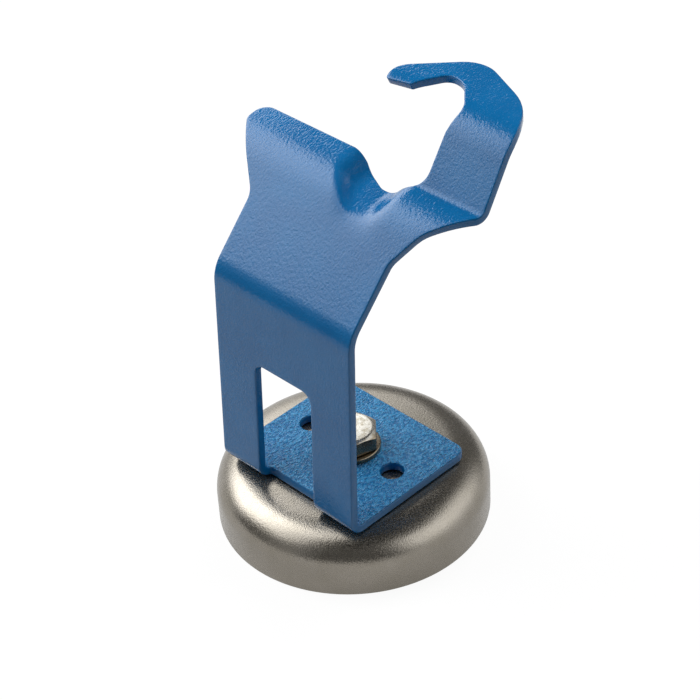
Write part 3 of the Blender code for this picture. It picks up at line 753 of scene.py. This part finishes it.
# Rows from the shank's end up to the middle of the head, as (radius, height).
# The three rows at the head's circle ease the cone into the flat top.
bolt_rows = [
    (all_round * shank_end_radius, all_round * shank_low),
    (all_round * shank_radius, all_round * (shank_low + shank_chamfer)),
    (all_round * shank_radius, all_round * head_low),
    (hexagon - head_bevel, all_round * head_low),
    (hexagon, all_round * (head_low + head_bevel)),
    (hexagon, cone - cone_round),
    (hexagon - cone_round, cone),
    (all_round * (head_circle + 0.15 * mm), all_round * (head_high - 0.11 * mm)),
    (all_round * (head_circle - 0.1 * mm), all_round * (head_high - 0.02 * mm)),
    (all_round * (head_circle - 0.6 * mm), all_round * head_high),
    (all_round * head_middle_radius, all_round * head_high)]
bolt = turned("hexagon_bolt", np.stack([row[0] for row in bolt_rows]),
              np.stack([row[1] for row in bolt_rows]), False)
bolt.data.set_sharp_from_angle(angle=head_crease)
bolt.data.materials.append(zinc)
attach(bolt, "magnet_base")
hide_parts("hex_bolt")

# The floor is pale paper that looks white to the eye and keeps a soft shadow.
# Metal and gloss mirror it as duller lit paper, with the object's shadow on it.
floor_reach = 20.0
floor_level = -0.05 * mm
floor = put_mesh("floor", np.array([[-floor_reach, -floor_reach, floor_level],
                                    [floor_reach, -floor_reach, floor_level],
                                    [floor_reach, floor_reach, floor_level],
                                    [-floor_reach, floor_reach, floor_level]]),
                 np.array([[0, 1, 2, 3]]), np.zeros((0, 3), int))
paper = bpy.data.materials.new("pale studio paper")
paper.use_nodes = True
paper.node_tree.nodes.remove(paper.node_tree.nodes["Principled BSDF"])
paper_ray = add_node(paper, "ShaderNodeLightPath", {}, {})
paper_seen = add_node(paper, "ShaderNodeMath", {"operation": "ADD", "use_clamp": True},
                      {0: paper_ray.outputs["Is Camera Ray"], 1: paper_ray.outputs["Is Transmission Ray"]})
dull = add_node(paper, "ShaderNodeBsdfDiffuse", {}, {"Color": (0.45, 0.45, 0.45, 1.0)})
faint = add_node(paper, "ShaderNodeBsdfDiffuse", {}, {"Color": (0.10, 0.10, 0.10, 1.0)})
seen_glow = add_node(paper, "ShaderNodeEmission", {}, {"Color": (1.0, 1.0, 1.0, 1.0), "Strength": 0.93})
seen_paper = add_node(paper, "ShaderNodeAddShader", {}, {0: faint.outputs[0], 1: seen_glow.outputs[0]})
mirrored_glow = add_node(paper, "ShaderNodeEmission", {},
                         {"Color": (1.0, 1.0, 1.0, 1.0), "Strength": 0.50})
mirrored_paper = add_node(paper, "ShaderNodeAddShader", {},
                          {0: dull.outputs[0], 1: mirrored_glow.outputs[0]})
unseen_paper = add_node(paper, "ShaderNodeMixShader", {},
                        {0: paper_ray.outputs["Is Glossy Ray"], 1: dull.outputs[0],
                         2: mirrored_paper.outputs[0]})
whole_paper = add_node(paper, "ShaderNodeMixShader", {},
                       {0: paper_seen.outputs[0], 1: unseen_paper.outputs[0], 2: seen_paper.outputs[0]})
paper.node_tree.links.new(whole_paper.outputs[0],
                          paper.node_tree.nodes["Material Output"].inputs["Surface"])
floor.data.materials.append(paper)

# The room around the floor is white to the eye and in gloss, and gives only a
# faint even light, so that the lamps shape the object.
world = bpy.data.worlds.new("white room")
bpy.context.scene.world = world
world.use_nodes = True
room = world.node_tree.nodes["Background"]
room_ray = add_node(world, "ShaderNodeLightPath", {}, {})
room_mirrored = add_node(world, "ShaderNodeMath", {"operation": "ADD", "use_clamp": True},
                     {0: room_ray.outputs["Is Camera Ray"], 1: room_ray.outputs["Is Glossy Ray"]})
room_seen = add_node(world, "ShaderNodeMath", {"operation": "ADD", "use_clamp": True},
                      {0: room_mirrored.outputs[0], 1: room_ray.outputs["Is Transmission Ray"]})
room_level = add_node(world, "ShaderNodeMapRange", {},
                      {"Value": room_seen.outputs[0], "To Min": 0.12, "To Max": 1.0})
world.node_tree.links.new(room_level.outputs["Result"], room.inputs["Strength"])
room.inputs["Color"].default_value = (1.0, 1.0, 1.0, 1.0)


# The studio dome shows only in gloss.  It holds the lit and dark cloths that
# the coat and the plate mirror, lights nothing and throws no shadow.
def soft_step(value, edge, width):
    """Ramp from 0 to 1 over a width centred on the edge."""
    return np.clip((value - edge) / width + 0.5, 0.0, 1.0)


def dome_glow(bearing, rise):
    """Brightness of the dome by bearing and rise in degrees: the brightest cloth.

    The key is a big soft box with slanting edges, from the back round to the
    left.  The spill is weaker light on the left that fades down to the floor,
    the fill a box on the right that reaches it, and the low cloth a band at
    the back left, under the key.  All the rest is dark.
    """
    far_edge = np.interp(rise, [26.0, 33.0, 42.0, 46.0, 50.0, 58.0, 63.0, 68.0, 74.0],
                         [125.0, 128.0, 134.0, 152.0, 162.0, 163.0, 168.0, 174.0, 182.0])
    far_blur = np.interp(rise, [44.0, 50.0, 58.0, 63.0, 74.0], [8.0, 12.0, 14.0, 16.0, 30.0])
    low_edge = np.interp(bearing, [150.0, 172.0, 190.0, 212.0, 222.0, 232.0, 250.0, 262.0],
                         [25.0, 25.0, 20.0, 20.0, 34.0, 36.0, 31.0, 36.0])
    high_edge = np.interp(bearing, [160.0, 172.0, 190.0, 212.0, 224.0, 232.0, 250.0],
                          [66.0, 68.0, 71.0, 72.0, 69.0, 62.0, 68.0])
    key = soft_step(bearing, far_edge, far_blur) * soft_step(-bearing, -266.0, 20.0)
    key = key * soft_step(rise, low_edge, 14.0) * soft_step(-rise, -high_edge, 16.0)
    key = key * np.interp(
        bearing, [132.0, 146.0, 156.0, 170.0, 190.0, 205.0, 212.0, 224.0, 229.0, 234.0, 241.0],
        [2.6, 3.0, 3.9, 4.9, 5.6, 5.2, 4.6, 3.7, 3.8, 3.2, 2.2])
    spill = np.interp(rise, [4.0, 20.0, 30.0, 40.0, 62.0, 70.0], [0.10, 0.25, 0.65, 1.2, 1.4, 3.0])
    spill_end = np.interp(rise, [56.0, 66.0], [264.0, 276.0])
    spill = spill * soft_step(bearing, 198.0, 10.0) * soft_step(-bearing, -spill_end, 10.0)
    fill = soft_step(bearing, -10.0, 20.0) * soft_step(-bearing, -78.0, 24.0) * soft_step(-rise, -50.0, 14.0)
    fill = fill * np.interp(rise, [-4.0, 4.0, 8.0, 14.0, 22.0], [0.50, 0.55, 0.65, 0.82, 1.0])
    fill = fill * np.interp(bearing, [-10.0, 10.0, 30.0, 50.0], [1.6, 2.0, 2.1, 1.9])
    low = soft_step(bearing, 141.0, 10.0) * soft_step(-bearing, -217.0, 10.0)
    low = low * np.interp(rise, [-3.0, 6.0, 12.0, 18.0, 24.0], [0.8, 0.70, 0.85, 1.2, 1.6])
    low = low * np.interp(bearing, [156.0, 170.0], [1.4, 1.0]) * soft_step(-rise, -34.0, 12.0)
    dark = np.interp(bearing, [-90.0, -75.0, -20.0, 5.0, 100.0, 128.0, 240.0, 255.0, 270.0],
                     [0.5, 0.15, 0.15, 0.22, 0.18, 0.24, 0.15, 0.4, 0.5])
    dark = np.where((rise > 46.0) & (bearing > -75.0) & (bearing < 150.0), 0.05, dark)
    return np.max(np.stack([key, spill, fill, low, dark]), axis=0)


dome_reach = 0.33
dome_step = 2.5
dome_middle = np.array([0.0, 0.0, 20.0 * mm])
bearing, rise = np.meshgrid(np.arange(-90.0, 270.0, dome_step), np.arange(-3.0, 89.0, dome_step))
# Each point is the middle plus the reach times (cos r cos b, cos r sin b, sin r).
dome_points = dome_reach * np.stack([
    np.cos(np.radians(rise)) * np.cos(np.radians(bearing)),
    np.cos(np.radians(rise)) * np.sin(np.radians(bearing)), np.sin(np.radians(rise))], axis=2)
here = np.arange(bearing.size).reshape(bearing.shape)
beside = np.roll(here, -1, axis=1)
dome = put_mesh("studio_dome", dome_points.reshape(-1, 3) + dome_middle,
                np.stack([here[:-1], beside[:-1], beside[1:], here[1:]], axis=2).reshape(-1, 4),
                np.zeros((0, 3), int))
glow_layer = dome.data.attributes.new("glow", "FLOAT", "POINT")
glow_layer.data.foreach_set("value", dome_glow(bearing, rise).astype(np.float32).ravel())
dome_cloth = bpy.data.materials.new("lit studio cloth")
dome_cloth.use_nodes = True
dome_cloth.node_tree.nodes.remove(dome_cloth.node_tree.nodes["Principled BSDF"])
cloth_level = add_node(dome_cloth, "ShaderNodeAttribute", {"attribute_name": "glow"}, {})
cloth_shine = add_node(dome_cloth, "ShaderNodeEmission", {},
                       {"Color": (0.98, 0.99, 1.0, 1.0), "Strength": cloth_level.outputs["Fac"]})
dome_cloth.node_tree.links.new(cloth_shine.outputs[0],
                               dome_cloth.node_tree.nodes["Material Output"].inputs["Surface"])
dome.data.materials.append(dome_cloth)
dome.visible_camera = False
dome.visible_diffuse = False
dome.visible_shadow = False


# Three soft lamps light the paint and the floor from the left, the back and,
# weakly, the right.  They stay out of the gloss, which mirrors the dome.
def soft_light(name, bearing, rise, reach, size, radiance):
    """Square soft light aimed at the object: power = radiance x pi x area."""
    lamp = bpy.data.lights.new(name, "AREA")
    lamp.size = size
    lamp.energy = radiance * math.pi * size * size
    carrier = bpy.data.objects.new(name, lamp)
    out = Vector((math.cos(math.radians(rise)) * math.cos(math.radians(bearing)),
                  math.cos(math.radians(rise)) * math.sin(math.radians(bearing)),
                  math.sin(math.radians(rise))))
    carrier.location = Vector((0.0, 0.0, 60.0 * mm)) + out * reach
    carrier.rotation_mode = "QUATERNION"
    carrier.rotation_quaternion = out.to_track_quat("Z", "Y")
    carrier.visible_glossy = False
    bpy.context.scene.collection.objects.link(carrier)


lamp_reach = 0.85
lamp_size = 0.60
soft_light("left_light", 210.0, 46.0, lamp_reach, lamp_size, 4.6)
soft_light("back_light", 100.0, 52.0, lamp_reach, lamp_size, 3.5)
soft_light("right_light", 20.0, 30.0, lamp_reach, lamp_size, 0.7)

# The camera looks down at the photograph's angle with a long lens.  Its focal
# length was fitted in pixels of the 700 pixel wide frame.
sensor_width = 36.0
frame_pixels = 700.0
focal_pixels = 2094.68
eye = bpy.data.cameras.new("photo camera")
eye.sensor_width = sensor_width
eye.lens = focal_pixels / frame_pixels * sensor_width
eye.clip_start = 0.01
eye.clip_end = 100.0
camera = bpy.data.objects.new("photo camera", eye)
camera.matrix_world = Matrix(((0.70869881, -0.39682998, 0.58332835, 0.34225762),
                              (0.70363924, 0.45775578, -0.54346248, -0.31689049),
                              (-0.05135973, 0.79560393, 0.60363612, 0.40895764),
                              (0.0, 0.0, 0.0, 1.0)))
bpy.context.scene.collection.objects.link(camera)
bpy.context.scene.camera = camera
bpy.context.scene.view_settings.view_transform = "Standard"
